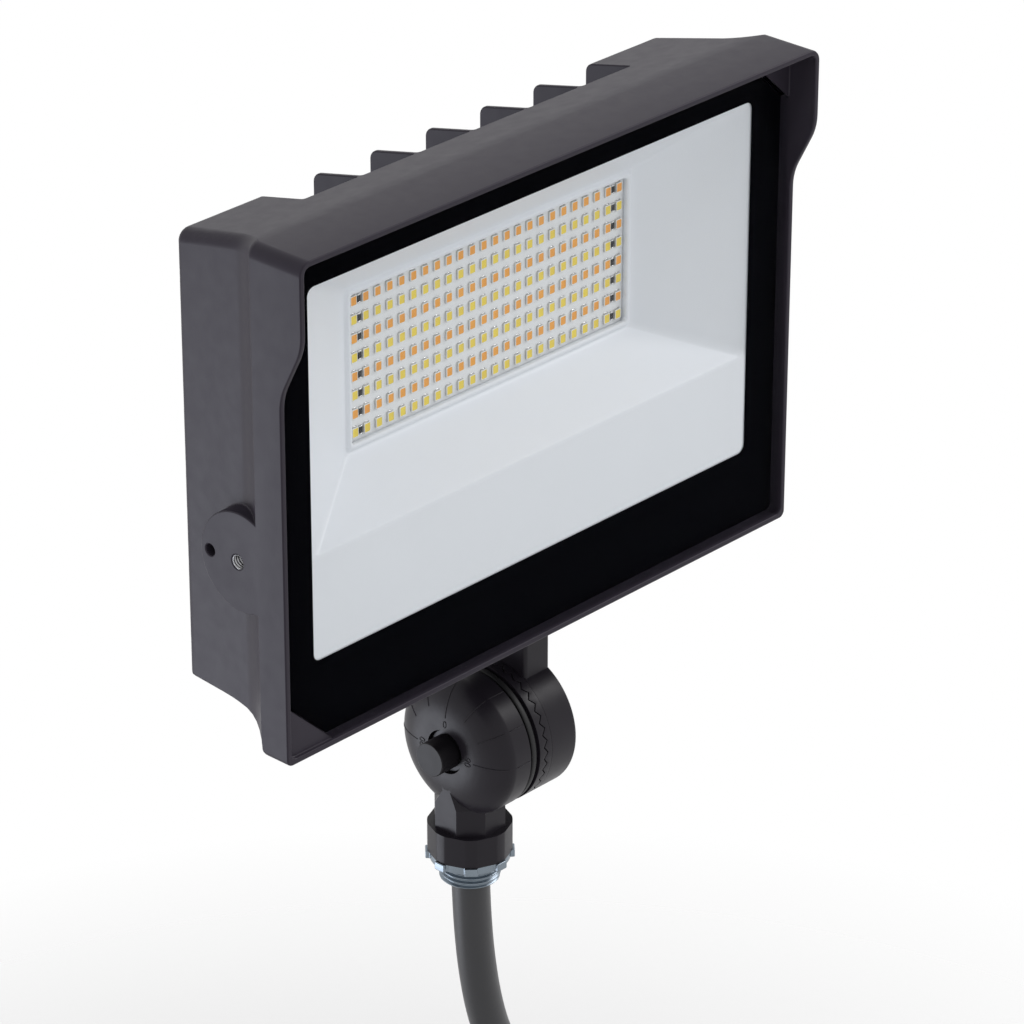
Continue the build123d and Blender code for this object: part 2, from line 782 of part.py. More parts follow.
with BuildPart() as selector_plug:
    plug_half = plug_flange / 2
    plug_outer = selector_window / 2 - plug_play
    plug_inner = plug_outer - plug_wall
    block(
        selector_x - plug_half, selector_x + plug_half, rear_depth, rear_depth + plug_thick,
        selector_z - plug_half, selector_z + plug_half,
    )
    block(
        selector_x - plug_outer, selector_x + plug_outer, cover_face, rear_depth,
        selector_z - plug_outer, selector_z + plug_outer,
    )
    block(
        selector_x - plug_inner, selector_x + plug_inner, cover_face, rear_depth,
        selector_z - plug_inner, selector_z + plug_inner, Mode.SUBTRACT,
    )
save(selector_plug, "selector_plug")

# Arm of the head, its gasket and screws
foot_top = seat_z - arm_gasket_thick
foot_low = foot_top - foot_thick
with BuildPart() as knuckle_arm:
    disc(knuckle_plane(parting), drum_radius, drum_end - parting)
    fillet(knuckle_arm.edges().sort_by(Axis.X)[-1], drum_edge)
    disc(knuckle_plane(head_valley), spigot_radius - slip, parting - head_valley)
    with BuildSketch(Plane.XY.offset(pivot_z)):
        with Locations((arm_x, 0)):
            RectangleRounded(drum_end - arm_inner, 2 * arm_half, arm_round)
    extrude(amount=foot_top - pivot_z)
    with BuildSketch(Plane.XY.offset(foot_low)):
        with Locations((arm_x, 0)):
            RectangleRounded(foot_length, foot_depth, edge_round)
    extrude(amount=foot_thick)
    disc(knuckle_plane(head_valley), cavity_radius, head_cavity, Mode.SUBTRACT, bore=hub_radius)
    disc(knuckle_plane(head_valley), pivot_radius + slip, drum_end, Mode.SUBTRACT)
    with BuildSketch(knuckle_plane(nut_seat)):
        RegularPolygon(nut_across / 2 + slip, 6, major_radius=False, rotation=30)
    extrude(amount=drum_end, mode=Mode.SUBTRACT)
    disc(Plane.XY.offset(foot_low), m4_radius + slip, foot_thick, Mode.SUBTRACT, spots=foot_spots)
    bore_low = pivot_z + hub_radius + slip
    disc(Plane.XY.offset(foot_top), arm_bore, bore_low - foot_top, Mode.SUBTRACT, spots=[(arm_x, 0)])
save(knuckle_arm, "knuckle_arm")

with BuildPart() as arm_gasket:
    with BuildSketch(Plane.XY.offset(foot_top)):
        with Locations((arm_x, 0)):
            RectangleRounded(foot_length, foot_depth, edge_round)
            Circle(arm_bore, mode=Mode.SUBTRACT)
        with Locations(*foot_spots):
            Circle(m4_radius + slip, mode=Mode.SUBTRACT)
    extrude(amount=arm_gasket_thick)
save(arm_gasket, "arm_gasket")

with BuildPart() as arm_screws:
    screw_group(
        Plane.XY.offset(seat_z + floor_thick), foot_spots, m4_radius,
        floor_thick + arm_gasket_thick + foot_thick, m4_head_radius, m4_head,
    )
save(arm_screws, "arm_screws")

# Stem half of the knuckle: domed drum with a groove, neck and collar in one casting
flat_end = math.tan(math.pi / 8)
octagon = [(1, flat_end), (flat_end, 1), (-flat_end, 1), (-1, flat_end)]
octagon += [(-a, -b) for a, b in octagon]
with BuildPart() as knuckle_base:
    for low, high in ((collar_top, neck_shoulder), (neck_shoulder, neck_blend)):
        for z in (low, high):
            top = z == neck_blend
            half_x = neck_top_across if top else neck_half
            half_y = neck_top_deep if top else neck_half
            with BuildSketch(Plane.XY.offset(z)):
                with BuildLine():
                    Polyline([(half_x * a, half_y * b) for a, b in octagon], close=True)
                make_face()
        loft(ruled=True)
    disc(knuckle_plane(groove_start), drum_radius + neck_clear, far, Mode.SUBTRACT)
    with BuildSketch(Plane(origin=(0, 0, pivot_z), x_dir=(1, 0, 0), z_dir=(0, -1, 0))):
        with BuildLine():
            dome = EllipticalCenterArc(
                (dome_start, dome_face_radius), dome_start - dome_face,
                drum_radius - dome_face_radius, start_angle=90, arc_size=90,
            )
            Polyline(
                (dome_face, dome_face_radius),
                (dome_face, 0),
                (stem_valley, 0),
                (stem_valley, spigot_radius - slip),
                (groove_end, spigot_radius - slip),
                (groove_end, groove_floor),
                (groove_start, groove_floor),
                (groove_start, drum_radius),
                (dome_start, drum_radius),
            )
        make_face()
    revolve(axis=Axis((0, 0, pivot_z), (1, 0, 0)))
    with BuildSketch(Plane.XY.offset(locknut_thick)):
        RegularPolygon(collar_across / 2, collar_sides, major_radius=False)
        Circle(collar_radius, mode=Mode.INTERSECT)
    extrude(amount=collar_top - locknut_thick)
    disc(knuckle_plane(dome_face), bolt_recess_radius, bolt_recess, Mode.SUBTRACT)
    disc(knuckle_plane(dome_face), pivot_radius + slip, far, Mode.SUBTRACT)
    disc(knuckle_plane(stem_valley), cavity_radius, -stem_cavity, Mode.SUBTRACT, bore=hub_radius)
    nipple_hole = thread_inner_radius + slip
    disc(Plane.XY.offset(locknut_thick), nipple_hole, nipple_top - locknut_thick, Mode.SUBTRACT)
    disc(
        Plane.XY.offset(nipple_top), wire_bore, pivot_z - hub_radius - nipple_top, Mode.SUBTRACT,
        spots=[(wire_bore_x, 0)],
    )
save(knuckle_base, "knuckle_base")

with BuildPart() as knuckle_seal:
    seal_middle = (groove_start + groove_end) / 2
    disc(knuckle_plane(seal_middle - seal_width / 2), seal_radius, seal_width, bore=groove_floor)
save(knuckle_seal, "knuckle_seal")

# Tooth rings: one radial gap, cut all round each ring
with BuildPart() as tooth_gap:
    for reach in (spigot_radius - tooth_over, drum_radius + tooth_over):
        half = tooth_share * reach * math.tan(math.pi / tooth_count)
        with BuildSketch(Plane.YZ.offset(reach)):
            with BuildLine():
                Polyline((0, -tooth_height), (2 * half, tooth_height), (-2 * half, tooth_height), close=True)
            make_face()
    loft(ruled=True)

with BuildPart() as stem_tooth_ring:
    ring_face = stem_valley + tooth_height
    disc(knuckle_plane(groove_end), drum_radius, ring_face - groove_end, bore=spigot_radius)
    with Locations(knuckle_plane(ring_face)):
        with PolarLocations(0, tooth_count):
            add(tooth_gap.part, mode=Mode.SUBTRACT)
save(stem_tooth_ring, "stem_tooth_ring")

with BuildPart() as head_tooth_ring:
    ring_face = head_valley - tooth_height
    disc(knuckle_plane(ring_face), drum_radius, parting - ring_face, bore=spigot_radius)
    with Locations(knuckle_plane(ring_face, -1)):
        with PolarLocations(0, tooth_count, start_angle=180 / tooth_count):
            add(tooth_gap.part, mode=Mode.SUBTRACT)
save(head_tooth_ring, "head_tooth_ring")

# Pivot bolt with washer and cap on the stem side, and the nut in the head half
washer_x = dome_face + bolt_recess - washer_thick
with BuildPart() as pivot_bolt:
    bolt_end = nut_seat + nut_thick
    screw_group(
        knuckle_plane(washer_x, -1), [(0, 0)], pivot_radius, bolt_end - washer_x,
        bolt_head_radius, bolt_head_length,
    )
save(pivot_bolt, "pivot_bolt")

with BuildPart() as pivot_washer:
    disc(knuckle_plane(washer_x), washer_radius, washer_thick, bore=pivot_radius + slip)
save(pivot_washer, "pivot_washer")

with BuildPart() as bolt_cap:
    disc(knuckle_plane(washer_x, -1), cap_radius, cap_length)
    disc(knuckle_plane(washer_x, -1), bolt_head_radius + slip, bolt_head_length + slip, Mode.SUBTRACT)
save(bolt_cap, "bolt_cap")

with BuildPart() as pivot_nut:
    with BuildSketch(knuckle_plane(nut_seat)):
        RegularPolygon(nut_across / 2, 6, major_radius=False, rotation=30)
        Circle(pivot_radius + slip, mode=Mode.SUBTRACT)
    extrude(amount=nut_thick)
save(pivot_nut, "pivot_nut")

# Threaded nipple, locknut and the rubber grip round the cord
with BuildPart() as threaded_nipple:
    disc(Plane.XY, thread_radius, -thread_free, bore=nipple_bore)
    disc(Plane.XY, thread_inner_radius, nipple_top, bore=nipple_bore)
save(threaded_nipple, "threaded_nipple")

with BuildPart() as locknut:
    with BuildSketch(Plane.XY):
        Circle(locknut_radius)
        with PolarLocations(locknut_radius, locknut_lugs):
            Rectangle(2 * lug_reach, lug_width)
        Circle(thread_inner_radius + slip, mode=Mode.SUBTRACT)
    extrude(amount=locknut_thick)
    bore_edges = [
        edge for edge in locknut.edges().filter_by(GeomType.CIRCLE)
        if edge.radius < thread_radius
    ]
    chamfer(bore_edges, locknut_chamfer)
save(locknut, "locknut")

with BuildPart() as cord_grip:
    disc(Plane.XY.offset(grip_low), nipple_bore - slip, grip_high - grip_low, bore=cord_radius + slip)
save(cord_grip, "cord_grip")

with BuildPart() as stem_leads:
    lead_spots = [
        (wire_bore_x + conductor_bundle * math.cos(a), conductor_bundle * math.sin(a))
        for a in bundle_angles
    ]
    disc(Plane.XY.offset(route[0][2]), conductor_radius, stem_lead_length, spots=lead_spots)
save(stem_leads, "stem_leads")

# Supply cord: free stretch as straight runs joined by the largest arcs
runs = [Vector(*b) - Vector(*a) for a, b in zip(route, route[1:])]
radii = []
for before, after in zip(runs, runs[1:]):
    turn = math.radians(before.get_angle(after))
    radii.append(0.45 * min(before.length, after.length) / math.tan(turn / 2))
print("cord runs", [round(run.length, 1) for run in runs], "radii", [round(r, 1) for r in radii])
with BuildPart() as supply_cord:
    with BuildLine() as cord_line:
        FilletPolyline(*route, radius=radii)
    with BuildSketch(Plane(origin=route[0], z_dir=runs[0])):
        Circle(cord_radius)
    sweep()
section_area = math.pi * cord_radius ** 2
cord_length = Wire(cord_line.edges()).length
print("cord volume over section times length", supply_cord.part.volume / section_area / cord_length)
save(supply_cord, "supply_cord")


def arc_pair(a, a_way, b, b_way):
    """Two tangent arcs that join two points with their given directions."""
    chord = b - a
    p = (a_way + b_way).length ** 2 - 4
    q = -2 * chord.dot(a_way + b_way)
    reach = (-q - math.sqrt(q * q - 4 * p * chord.dot(chord))) / (2 * p)
    first = a + a_way * reach
    second = b - b_way * reach
    joint = (first + second) * 0.5
    TangentArc(a, joint, tangent=a_way)
    TangentArc(joint, b, tangent=second - first)


# Coil: starts in line with the cord, turns clockwise seen from the front and drifts back
coil_way = runs[-1].normalized()
coil_start = Vector(*route[-1]) + coil_way * (2 * cord_radius)
start_angle = math.atan2(coil_way.X, -coil_way.Z)
coil_middle = coil_start - Vector(math.cos(start_angle), 0, math.sin(start_angle)) * coil_radius
turn_angle = 2 * math.pi * coil_turns
arc_count = math.ceil(4 * coil_turns)


def coil_point(share):
    angle = start_angle - share * turn_angle
    across = Vector(math.cos(angle), 0, math.sin(angle)) * coil_radius
    return coil_middle + across + Vector(0, share * coil_turns * coil_drift, 0)


def coil_direction(share):
    angle = start_angle - share * turn_angle
    drift = coil_drift / (2 * math.pi) if share else 0
    return Vector(coil_radius * math.sin(angle), drift, -coil_radius * math.cos(angle)).normalized()


coil_end = coil_point(1)
end_way = coil_direction(1)
with BuildPart() as supply_cord_coil:
    with BuildLine() as coil_line:
        Line(Vector(*route[-1]), coil_start)
        for number in range(arc_count):
            near = number / arc_count
            after = (number + 1) / arc_count
            arc_pair(coil_point(near), coil_direction(near), coil_point(after), coil_direction(after))
        Line(coil_end, coil_end + end_way * (2 * cord_radius))
    with BuildSketch(Plane(origin=route[-1], z_dir=coil_way)):
        Circle(cord_radius)
    sweep()
coil_wire = Wire(coil_line.edges())
sample_count = 600
samples = [coil_wire.position_at(i / sample_count) for i in range(sample_count + 1)]
half_turn = math.ceil(sample_count / 2 / coil_turns)
least = min((a - b).length for i, a in enumerate(samples) for b in samples[i + half_turn:])
print("coil length", round(coil_wire.length, 1), "least gap", round(least - 2 * cord_radius, 2))
print("coil volume over section times length", supply_cord_coil.part.volume / section_area / coil_wire.length)
save(supply_cord_coil, "supply_cord_coil")

# Tie round both turns of the coil
with BuildPart() as cord_tie:
    tie_turn = math.radians(tie_angle)
    tie_share = (start_angle - tie_turn) / turn_angle
    tie_spot = coil_point(tie_share) + Vector(0, coil_drift / 2, 0)
    tie_plane = Plane(origin=tie_spot, x_dir=(0, 1, 0), z_dir=(math.sin(tie_turn), 0, -math.cos(tie_turn)))
    tie_inner = cord_radius + tie_play
    with BuildSketch(tie_plane):
        SlotCenterToCenter(coil_drift, 2 * (tie_inner + tie_wall))
        SlotCenterToCenter(coil_drift, 2 * tie_inner, mode=Mode.SUBTRACT)
    extrude(amount=tie_length / 2, both=True)
save(cord_tie, "cord_tie")

# Stripped end: three conductors that spread a little, each with a bare copper tip
bare_plane = Plane(origin=coil_end + end_way * (2 * cord_radius), x_dir=(0, 1, 0), z_dir=end_way)
spread = math.radians(conductor_splay)
tip_places = []
for name, angle in zip(("conductor_black", "conductor_white", "conductor_green"), bundle_angles):
    out = Vector(math.cos(angle), math.sin(angle), 0)
    near = out * conductor_bundle
    bend = near + Vector(0, 0, conductor_straight)
    beyond = out * math.sin(spread) + Vector(0, 0, math.cos(spread))
    end = bend + beyond * conductor_splayed
    corners = [bare_plane.from_local_coords(point) for point in (near, bend, end)]
    bend_radius = 0.45 * conductor_straight / math.tan(spread / 2)
    with BuildPart() as conductor:
        tube([tuple(point) for point in corners], bend_radius, conductor_radius)
    save(conductor, name)
    tip_places.append(Plane(origin=corners[2], z_dir=corners[2] - corners[1]))

with BuildPart() as conductor_tips:
    for tip_plane in tip_places:
        disc(tip_plane, tip_radius, tip_length)
save(conductor_tips, "conductor_tips")
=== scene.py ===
import math

import bmesh
import bpy
from mathutils import Matrix, Vector


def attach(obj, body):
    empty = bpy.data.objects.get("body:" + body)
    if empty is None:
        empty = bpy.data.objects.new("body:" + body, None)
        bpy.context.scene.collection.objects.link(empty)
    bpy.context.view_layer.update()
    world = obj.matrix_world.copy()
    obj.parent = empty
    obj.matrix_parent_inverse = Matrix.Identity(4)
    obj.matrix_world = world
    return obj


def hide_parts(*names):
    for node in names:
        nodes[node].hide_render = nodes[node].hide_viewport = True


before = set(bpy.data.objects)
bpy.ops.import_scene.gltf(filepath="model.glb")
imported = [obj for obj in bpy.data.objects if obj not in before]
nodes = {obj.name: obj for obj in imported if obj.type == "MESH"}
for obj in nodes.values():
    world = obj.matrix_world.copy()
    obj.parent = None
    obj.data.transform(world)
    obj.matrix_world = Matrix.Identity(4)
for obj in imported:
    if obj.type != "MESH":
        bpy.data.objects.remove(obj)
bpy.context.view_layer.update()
mm = 0.001


# Camera: the lamp is seen from its left, 47 degrees round and 27 degrees up, through a long lens
# 1.63 m away. The three directions are the picture's right, up and backward.
def hang(name, data):
    """Object in the scene for this camera, curve, mesh or lamp."""
    thing = bpy.data.objects.new(name, data)
    bpy.context.scene.collection.objects.link(thing)
    return thing


sight = bpy.data.cameras.new("sight")
sight.lens = 176.86
sight.sensor_width = 36.0
camera = hang("camera", sight)
picture_right = Vector((0.6821, -0.7313, 0.001))
picture_up = Vector((0.3288, 0.3079, 0.8928))
picture_back = Vector((-0.6532, -0.6086, 0.4504))
camera_axes = Matrix((picture_right, picture_up, picture_back)).transposed()
camera.rotation_mode = "QUATERNION"
camera.rotation_quaternion = camera_axes.to_quaternion()
camera.location = (-1.0823, -1.028, 0.8851)
bpy.context.scene.camera = camera

# Supply cord: round three-core lead, 13.5 mm over its black rubber jacket, which leaves the nipple
# straight down. It swings into a coil of one and a half turns, tied once, below the picture.
cord_radius = 6.75 * mm
cord_route = [
    (0, 0, 10), (0, 0, -24), (7, 0, -68.5), (19, 0, -93.1), (37.7, 0, -113.1), (61.4, 0, -126.8),
]
coil_radius = 74 * mm
coil_turns = 1.64
coil_drift = 14.8 * mm
coil_steps = 26
step_turn = 2 * math.pi * coil_turns / coil_steps
cord_points = [Vector(point) * mm for point in cord_route]
swing = (cord_points[-1] - cord_points[-2]).normalized()
first_angle = math.atan2(swing.x, -swing.z)
coil_middle = cord_points[-1] + swing * 2 * cord_radius
coil_middle -= Vector((math.cos(first_angle), 0, math.sin(first_angle))) * coil_radius
knot_radius = coil_radius / math.cos(step_turn / 2)


def coil_point(radius, angle, drift):
    """Point this far from the coil's middle, and this far along its axis."""
    return coil_middle + Vector((radius * math.cos(angle), drift, radius * math.sin(angle)))


for step in range(coil_steps + 1):
    angle = first_angle - step * step_turn
    drift = coil_drift * coil_turns * step / coil_steps
    cord_points.append(coil_point(knot_radius, angle, drift))
end_drift = coil_drift / (2 * math.pi * coil_radius)
end_way = Vector((math.sin(angle), end_drift, -math.cos(angle))).normalized()
cord_end = coil_point(coil_radius, angle, drift) + end_way * 2 * cord_radius
cord_points.append(cord_end)


def round_line(name, radius, sides):
    """Curve data with a round section and closed ends."""
    line = bpy.data.curves.new(name, "CURVE")
    line.dimensions = "3D"
    line.bevel_depth = radius
    line.bevel_resolution = sides
    line.use_fill_caps = True
    return line


cord_line = round_line("supply_lead", cord_radius, 8)
cord_line.resolution_u = 8
strand = cord_line.splines.new("NURBS")
strand.points.add(len(cord_points) - 1)
for knot, place in zip(strand.points, cord_points):
    knot.co = (*place, 1)
strand.order_u = 3
strand.use_endpoint_u = True
supply_lead = hang("supply_lead", cord_line)


def finish(
    name, colour, roughness, metallic=0.0, grain=400.0, depth=0.0, uneven=0.08, worn=0.06, gloss=0.5
):
    """Principled material: colour drifts by uneven, roughness by worn, and a grain of this many
    cells per metre stands up by depth."""
    material = bpy.data.materials.new(name)
    material.use_nodes = True
    tree = material.node_tree
    shader = tree.nodes["Principled BSDF"]
    shader.inputs["Metallic"].default_value = metallic
    shader.inputs["Specular IOR Level"].default_value = gloss
    place = tree.nodes.new("ShaderNodeTexCoord")
    cloud = tree.nodes.new("ShaderNodeTexNoise")
    cloud.inputs["Scale"].default_value = grain / 12
    cloud.inputs["Detail"].default_value = 3.0
    tree.links.new(place.outputs["Object"], cloud.inputs["Vector"])
    # A colour mix takes its two colours at sockets 6 and 7 and gives their mix at socket 2.
    tint = tree.nodes.new("ShaderNodeMix")
    tint.data_type = "RGBA"
    tint.inputs[6].default_value = (*[channel * (1 - uneven) for channel in colour], 1)
    tint.inputs[7].default_value = (*[min(1, channel * (1 + uneven)) for channel in colour], 1)
    tree.links.new(cloud.outputs[0], tint.inputs[0])
    tree.links.new(tint.outputs[2], shader.inputs["Base Color"])
    polish = tree.nodes.new("ShaderNodeMapRange")
    polish.inputs["To Min"].default_value = roughness - worn
    polish.inputs["To Max"].default_value = roughness + worn
    tree.links.new(cloud.outputs[0], polish.inputs["Value"])
    tree.links.new(polish.outputs[0], shader.inputs["Roughness"])
    if depth:
        speck = tree.nodes.new("ShaderNodeTexNoise")
        speck.inputs["Scale"].default_value = grain
        speck.inputs["Detail"].default_value = 2.0
        relief = tree.nodes.new("ShaderNodeBump")
        relief.inputs["Strength"].default_value = 1.0
        relief.inputs["Distance"].default_value = depth
        tree.links.new(place.outputs["Object"], speck.inputs["Vector"])
        tree.links.new(speck.outputs[0], relief.inputs["Height"])
        tree.links.new(relief.outputs["Normal"], shader.inputs["Normal"])
    return material


jacket = finish("jacket_rubber", (0.022, 0.022, 0.025), 0.42, grain=900, depth=0.03 * mm, worn=0.1)
cord_line.materials.append(jacket)
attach(supply_lead, "stem")
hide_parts("supply_cord", "supply_cord_coil")


# Stripped end: three insulated conductors that fan out of the jacket, each with twisted copper
# strands showing at its tip, and the nylon tie that holds the two turns together.
def coat(material, *names):
    """Material on CAD pieces that keep their own mesh."""
    for name in names:
        nodes[name].material_slots[0].material = material


for name, colour in (
    ("conductor_black", (0.02, 0.02, 0.02)),
    ("conductor_white", (0.72, 0.72, 0.7)),
    ("conductor_green", (0.03, 0.25, 0.08)),
):
    coat(finish(name + "_skin", colour, 0.4, grain=1500, depth=0.01 * mm), name)
copper = finish("copper_strands", (0.72, 0.32, 0.16), 0.35, metallic=1.0, grain=3000, depth=0.02 * mm)
core_offset = 2.2 * mm
core_straight = 15 * mm
core_splayed = 28 * mm
core_splay = math.radians(12)
strand_radius = 0.3 * mm
tip_length = 8.7 * mm
tip_twist = 2.4
tip_steps = 12
strands = round_line("copper_tips", strand_radius, 2)
strands.materials.append(copper)
side = Vector((0, 1, 0))
lift = end_way.cross(side).normalized()
side = lift.cross(end_way).normalized()
for core in range(3):
    core_angle = math.radians(90 + 120 * core)
    outward = side * math.cos(core_angle) + lift * math.sin(core_angle)
    bend = cord_end + outward * core_offset + end_way * core_straight
    way = end_way * math.cos(core_splay) + outward * math.sin(core_splay)
    tip_start = bend + way * core_splayed
    across = way.cross(outward).normalized()
    along_out = across.cross(way).normalized()
    # Six strands wind round the seventh.
    for wire in range(7):
        off_middle = 2 * strand_radius if wire < 6 else 0
        twist = strands.splines.new("POLY")
        twist.points.add(tip_steps)
        for number, knot in enumerate(twist.points):
            share = number / tip_steps
            turned = wire * math.pi / 3 + share * tip_twist
            offset = (across * math.cos(turned) + along_out * math.sin(turned)) * off_middle
            knot.co = (*(tip_start + way * tip_length * share + offset), 1)
copper_tips = hang("copper_tips", strands)
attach(copper_tips, "stem")
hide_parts("conductor_tips")


def ease_edges(node, width, least=30, clamp=True, flat=0.3):
    """Small rounds on the CAD piece's edges that turn by at least this many degrees. Faces that
    turn by less than flat degrees are joined first."""
    weld = nodes[node].modifiers.new("weld", "WELD")
    weld.merge_threshold = 0.002 * mm
    flats = nodes[node].modifiers.new("flats", "DECIMATE")
    flats.decimate_type = "DISSOLVE"
    flats.angle_limit = math.radians(flat)
    edges = nodes[node].modifiers.new("edges", "BEVEL")
    edges.width = width
    edges.segments = 2
    edges.limit_method = "ANGLE"
    edges.angle_limit = math.radians(least)
    edges.miter_outer = "MITER_ARC"
    edges.use_clamp_overlap = clamp
    shading = nodes[node].modifiers.new("shading", "WEIGHTED_NORMAL")
    shading.weight = 100


coat(finish("nylon_tie", (0.015, 0.015, 0.016), 0.45, grain=1200, depth=0.01 * mm), "cord_tie")
ease_edges("cord_tie", 0.35 * mm)

# Threaded nipple: zinc-plated half-inch conduit thread, 14 turns to the inch, with a plain bore.
# The rubber grip inside it closes on the cord.
zinc = finish(
    "zinc_plate", (0.2, 0.235, 0.27), 0.3, metallic=1.0, grain=1400, depth=0.012 * mm,
    uneven=0.14, worn=0.12,
)


def new_piece(name, shape, materials, body, replaced=()):
    """Object from a bmesh, smooth-shaded with flats kept flat, riding on its CAD body."""
    mesh = bpy.data.meshes.new(name)
    bmesh.ops.recalc_face_normals(shape, faces=shape.faces)
    shape.to_mesh(mesh)
    shape.free()
    for polygon in mesh.polygons:
        polygon.use_smooth = True
    for material in materials:
        mesh.materials.append(material)
    piece = hang(name, mesh)
    shading = piece.modifiers.new("shading", "WEIGHTED_NORMAL")
    shading.weight = 100
    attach(piece, body)
    if replaced:
        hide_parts(*replaced)
    return piece


def skin(shape, rings, closed=False):
    """Quads between rings of equal length; closed joins the last ring to the first."""
    loops = [[shape.verts.new(point) for point in ring] for ring in rings]
    pairs = list(zip(loops, loops[1:]))
    if closed:
        pairs.append((loops[-1], loops[0]))
    for near, far in pairs:
        for number in range(len(near)):
            after = (number + 1) % len(near)
            shape.faces.new((near[number], near[after], far[after], far[number]))
    return loops


def level_ring(radius, z, count):
    """Points round the upright axis at this height."""
    turns = [2 * math.pi * number / count for number in range(count)]
    return [(radius * math.cos(turn), radius * math.sin(turn), z) for turn in turns]


thread_crest = 10.65 * mm
thread_root = 9.75 * mm
thread_pitch = 1.814 * mm
thread_start = 0.5 * mm
start_slope = 0.9
nipple_bore = 8.2 * mm
nipple_shank = 10.4 * mm
nipple_low = -7.7 * mm
nipple_top = 12.5 * mm
shank_low = 0.1 * mm
bore_chamfer = 0.4 * mm
around = 96
rows = 84
rings = []
for row in range(rows + 1):
    z = nipple_low * row / rows
    ring = []
    for number in range(around):
        turned = number / around
        phase = (z / thread_pitch + turned) % 1
        ridge = 1 - abs(2 * phase - 1)
        # A seventh of each flank is cut off at the crest and filled at the root.
        height = min(1, max(0, 1.4 * ridge - 0.2))
        radius = thread_root + (thread_crest - thread_root) * height
        radius = min(radius, thread_root + thread_start + (z - nipple_low) * start_slope)
        angle = 2 * math.pi * turned
        ring.append((radius * math.cos(angle), radius * math.sin(angle), z))
    rings.append(ring)
for radius, z in (
    (nipple_bore + bore_chamfer, nipple_low), (nipple_bore, nipple_low + bore_chamfer),
    (nipple_bore, nipple_top), (nipple_shank, nipple_top), (nipple_shank, shank_low),
):
    rings.append(level_ring(radius, z, around))
thread_shape = bmesh.new()
skin(thread_shape, rings, closed=True)
new_piece("nipple_thread", thread_shape, [zinc], "stem", ["threaded_nipple"])
coat(jacket, "cord_grip")

# Locknut: stamped steel ring with eight lugs, zinc-plated. It is tightened up against the collar
# on the thread of the nipple.
coat(zinc, "locknut")
ease_edges("locknut", 0.4 * mm)

# Stem half of the knuckle: die-cast dome, neck and octagonal collar in black satin powder coat,
# with an O-ring in its groove.
knuckle_coat = finish(
    "knuckle_coat", (0.014, 0.0118, 0.0165), 0.36, grain=2600, depth=0.004 * mm, gloss=0.19
)
coat(knuckle_coat, "knuckle_base")
ease_edges("knuckle_base", 0.5 * mm)
ring_rubber = finish(
    "ring_rubber", (0.009, 0.009, 0.01), 0.5, grain=2000, depth=0.008 * mm, gloss=0.3
)
coat(ring_rubber, "knuckle_seal")
ease_edges("knuckle_seal", 0.7 * mm)

# Angle scale: cast ribs every 30 degrees on rim and dome, with 0 at the top and 90 to the front
# and the back, cast in the same metal.
pivot = Vector((0, 0, 45.5 * mm))
drum_radius = 25.5 * mm
dome_flat = 9 * mm
dome_edge = -3.5 * mm
dome_rise = 8.8 * mm
rib_start = 3.1 * mm
rib_radius = 0.2 * mm
rib_steps = 12
long_rib = 13 * mm
short_rib = 16.5 * mm
scale_lines = round_line("angle_scale", rib_radius, 2)
scale_lines.materials.append(knuckle_coat)


def knuckle_point(x, radius, angle):
    """Point this far from the knuckle's axis, at an angle from the front upwards."""
    return pivot + Vector((x, -radius * math.cos(angle), radius * math.sin(angle)))


def dome_spot(radius, angle):
    """Point on the dome's surface."""
    bulge = max(0, radius - dome_flat) / (drum_radius - dome_flat)
    x = dome_edge - dome_rise * math.sqrt(max(0, 1 - bulge * bulge))
    return knuckle_point(x, radius, angle)


def scale_stroke(points):
    """One raised line through these points."""
    stroke = scale_lines.splines.new("POLY")
    stroke.points.add(len(points) - 1)
    for knot, place in zip(stroke.points, points):
        knot.co = (*place, 1)


for degrees in range(0, 181, 30):
    angle = math.radians(degrees)
    inner = long_rib if degrees % 90 == 0 else short_rib
    points = [knuckle_point(x, drum_radius, angle) for x in (rib_start, 0, dome_edge)]
    for step in range(1, rib_steps + 1):
        points.append(dome_spot(drum_radius + (inner - drum_radius) * step / rib_steps, angle))
    scale_stroke(points)

digit_radius = 10.6 * mm
digit_height = 2.4 * mm
digit_width = 1.3 * mm
digit_pitch = 1.45 * digit_width
turn_steps = [2 * math.pi * number / 16 for number in range(17)]
zero = [(0.5 * math.cos(turn), 0.5 * math.sin(turn)) for turn in turn_steps]
nine = [(0.5 * math.cos(turn), 0.2 + 0.3 * math.sin(turn)) for turn in turn_steps]
nine += [(0.48, 0.0), (0.3, -0.35), (0.0, -0.5)]
for degrees, digits in ((0, (nine, zero)), (90, (zero,)), (180, (nine, zero))):
    for number, digit in enumerate(digits):
        shift = (number - (len(digits) - 1) / 2) * digit_pitch
        points = []
        for along, up in digit:
            radius = digit_radius + up * digit_height
            angle = math.radians(degrees) - (shift + along * digit_width) / radius
            points.append(dome_spot(radius, angle))
        scale_stroke(points)
angle_scale = hang("angle_scale", scale_lines)
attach(angle_scale, "stem")

# Tooth rings: the two halves of the knuckle mesh in 36 radial teeth, each half's ring cast with
# it. The zigzag joint between them shows all round the drum.
tooth_count = 36
tooth_steps = 8
tooth_low = 10.0 * mm
tooth_high = 11.7 * mm
tooth_gap = 0.2 * mm
ring_inner = 15.0 * mm
edge_break = 0.12 * mm
face_break = 0.15 * mm


